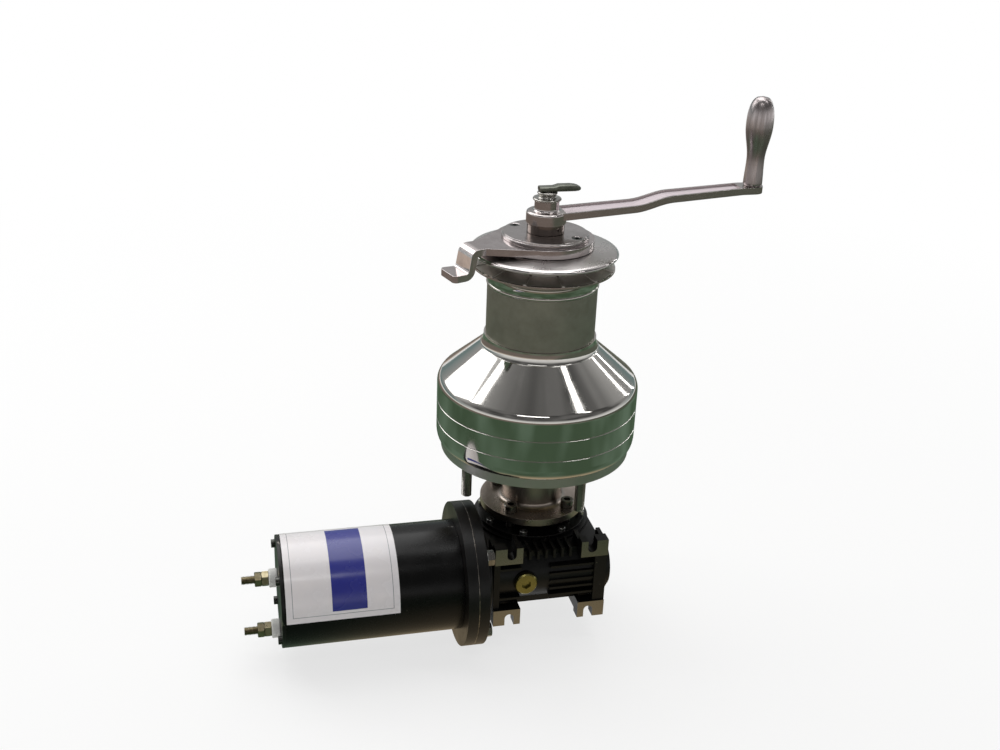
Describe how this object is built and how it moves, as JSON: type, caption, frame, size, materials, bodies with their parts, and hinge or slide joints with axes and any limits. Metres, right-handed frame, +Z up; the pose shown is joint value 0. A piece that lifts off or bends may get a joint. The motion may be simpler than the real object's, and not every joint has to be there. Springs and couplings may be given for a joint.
{
  "type": "sailboat winch",
  "caption": "Vertical electric sailboat winch: flared drum with self-tailing rope jaws, feeder arm, lock-in crank handle, deck studs, and a worm gearmotor that hangs below the deck.",
  "frame": {"origin": "centre of the base plate's underside, where it seats on the deck", "axes": "+Z up along the drum's axis, the motor towards -X, the gearbox's foot pads facing -Y"},
  "size_m": [0.5037, 0.217, 0.5197],
  "materials": {
    "polished_stainless": "mirror polished stainless steel",
    "blasted_stainless": "bead blasted, dull grip surface",
    "satin_stainless": "satin turned stainless steel",
    "white_nylon": "plain machined nylon",
    "bronze": "machined bronze",
    "yellow_brass": "bare brass, a little dull",
    "gear_steel": "ground and hobbed steel",
    "black_paint": "semi-gloss black paint over castings",
    "dark_steel": "blackened steel",
    "seal_rubber": "moulded brown rubber",
    "ferrite": "sintered magnet",
    "armature_iron": "laminations and varnished windings",
    "copper": "turned copper",
    "carbon": "pressed carbon",
    "phenolic": "paper laminate",
    "label_film": "white film with a blue band"
  },
  "bodies": {
    "frame": {"base_plate": "satin_stainless", "deck_studs": "satin_stainless", "stud_collars": "white_nylon", "center_stem": "gear_steel", "base_screws": "gear_steel", "idler_pins": "gear_steel", "thrust_washer": "white_nylon", "lower_drum_bush": "white_nylon", "upper_drum_bush": "white_nylon", "lower_spindle_bush": "bronze", "upper_spindle_bush": "bronze", "feeder_arm": "polished_stainless", "top_cap": "polished_stainless", "cap_screws": "satin_stainless", "neck": "satin_stainless", "neck_screws": "dark_steel", "gear_housing": "black_paint", "output_cover": "black_paint", "cover_screws": "satin_stainless", "oil_plug": "yellow_brass", "wheel_bearings": "gear_steel", "shaft_seals": "seal_rubber", "rotor_bearings": "gear_steel", "worm_end_cap": "black_paint", "input_flange": "black_paint", "flange_bolts": "satin_stainless", "motor_flange": "black_paint", "motor_shell": "black_paint", "motor_end_cap": "black_paint", "field_magnets": "ferrite", "brush_ring": "phenolic", "carbon_brushes": "carbon", "motor_through_bolts": "dark_steel", "terminal_insulators": "white_nylon", "terminal_studs": "yellow_brass", "terminal_nuts": "yellow_brass", "motor_label": "label_film"},
    "drum": {"drum_bell": "polished_stainless", "drum_barrel": "blasted_stainless", "lower_jaw": "polished_stainless", "upper_jaw": "polished_stainless", "jaw_screws": "satin_stainless", "ring_gear": "gear_steel"},
    "spindle": {"spindle": "satin_stainless", "spindle_pinion": "gear_steel", "one_way_clutch": "gear_steel"},
    "left_idler": {"left_idler_gear": "gear_steel"},
    "right_idler": {"right_idler_gear": "gear_steel"},
    "wheel": {"wheel_hub": "gear_steel", "wheel_rim": "bronze", "drive_shaft": "gear_steel"},
    "rotor": {"worm_shaft": "gear_steel", "armature": "armature_iron", "commutator": "copper"},
    "handle": {"crank_arm": "polished_stainless", "drive_square": "satin_stainless", "grip_pin": "satin_stainless"},
    "grip": {"crank_grip": "satin_stainless"},
    "lock": {"lock_lever": "dark_steel", "lock_bolt": "satin_stainless"}
  },
  "joints": [
    {"name": "drum_spin", "type": "hinge", "parent": "frame", "child": "drum", "pos_m": [0, 0, 0], "axis": [0, 0, 1], "continuous": true},
    {"name": "spindle_spin", "type": "hinge", "parent": "frame", "child": "spindle", "pos_m": [0, 0, 0], "axis": [0, 0, 1], "continuous": true},
    {"name": "left_idler_spin", "type": "hinge", "parent": "frame", "child": "left_idler", "pos_m": [0, 0.055, 0], "axis": [0, 0, 1], "continuous": true},
    {"name": "right_idler_spin", "type": "hinge", "parent": "frame", "child": "right_idler", "pos_m": [0, -0.055, 0], "axis": [0, 0, 1], "continuous": true},
    {"name": "handle_lift", "type": "slide", "parent": "spindle", "child": "handle", "axis": [0, 0, 1], "range_m": [0, 0.06]},
    {"name": "grip_spin", "type": "hinge", "parent": "handle", "child": "grip", "pos_m": [0.2, 0, 0], "axis": [0, 0, 1], "continuous": true},
    {"name": "lock_turn", "type": "hinge", "parent": "handle", "child": "lock", "pos_m": [0, 0, 0], "axis": [0, 0, 1], "range_deg": [0, 22.5]},
    {"name": "rotor_spin", "type": "hinge", "parent": "frame", "child": "rotor", "pos_m": [0, -0.05, -0.1105], "axis": [1, 0, 0], "continuous": true},
    {"name": "wheel_spin", "type": "hinge", "parent": "frame", "child": "wheel", "pos_m": [0, 0, 0], "axis": [0, 0, 1], "continuous": true}
  ],
  "couplings": [
    {"joint": "spindle_spin", "follows": "drum_spin", "ratio": -3},
    {"joint": "left_idler_spin", "follows": "drum_spin", "ratio": 3},
    {"joint": "right_idler_spin", "follows": "drum_spin", "ratio": 3},
    {"joint": "wheel_spin", "follows": "rotor_spin", "ratio": -0.033333}
  ]
}
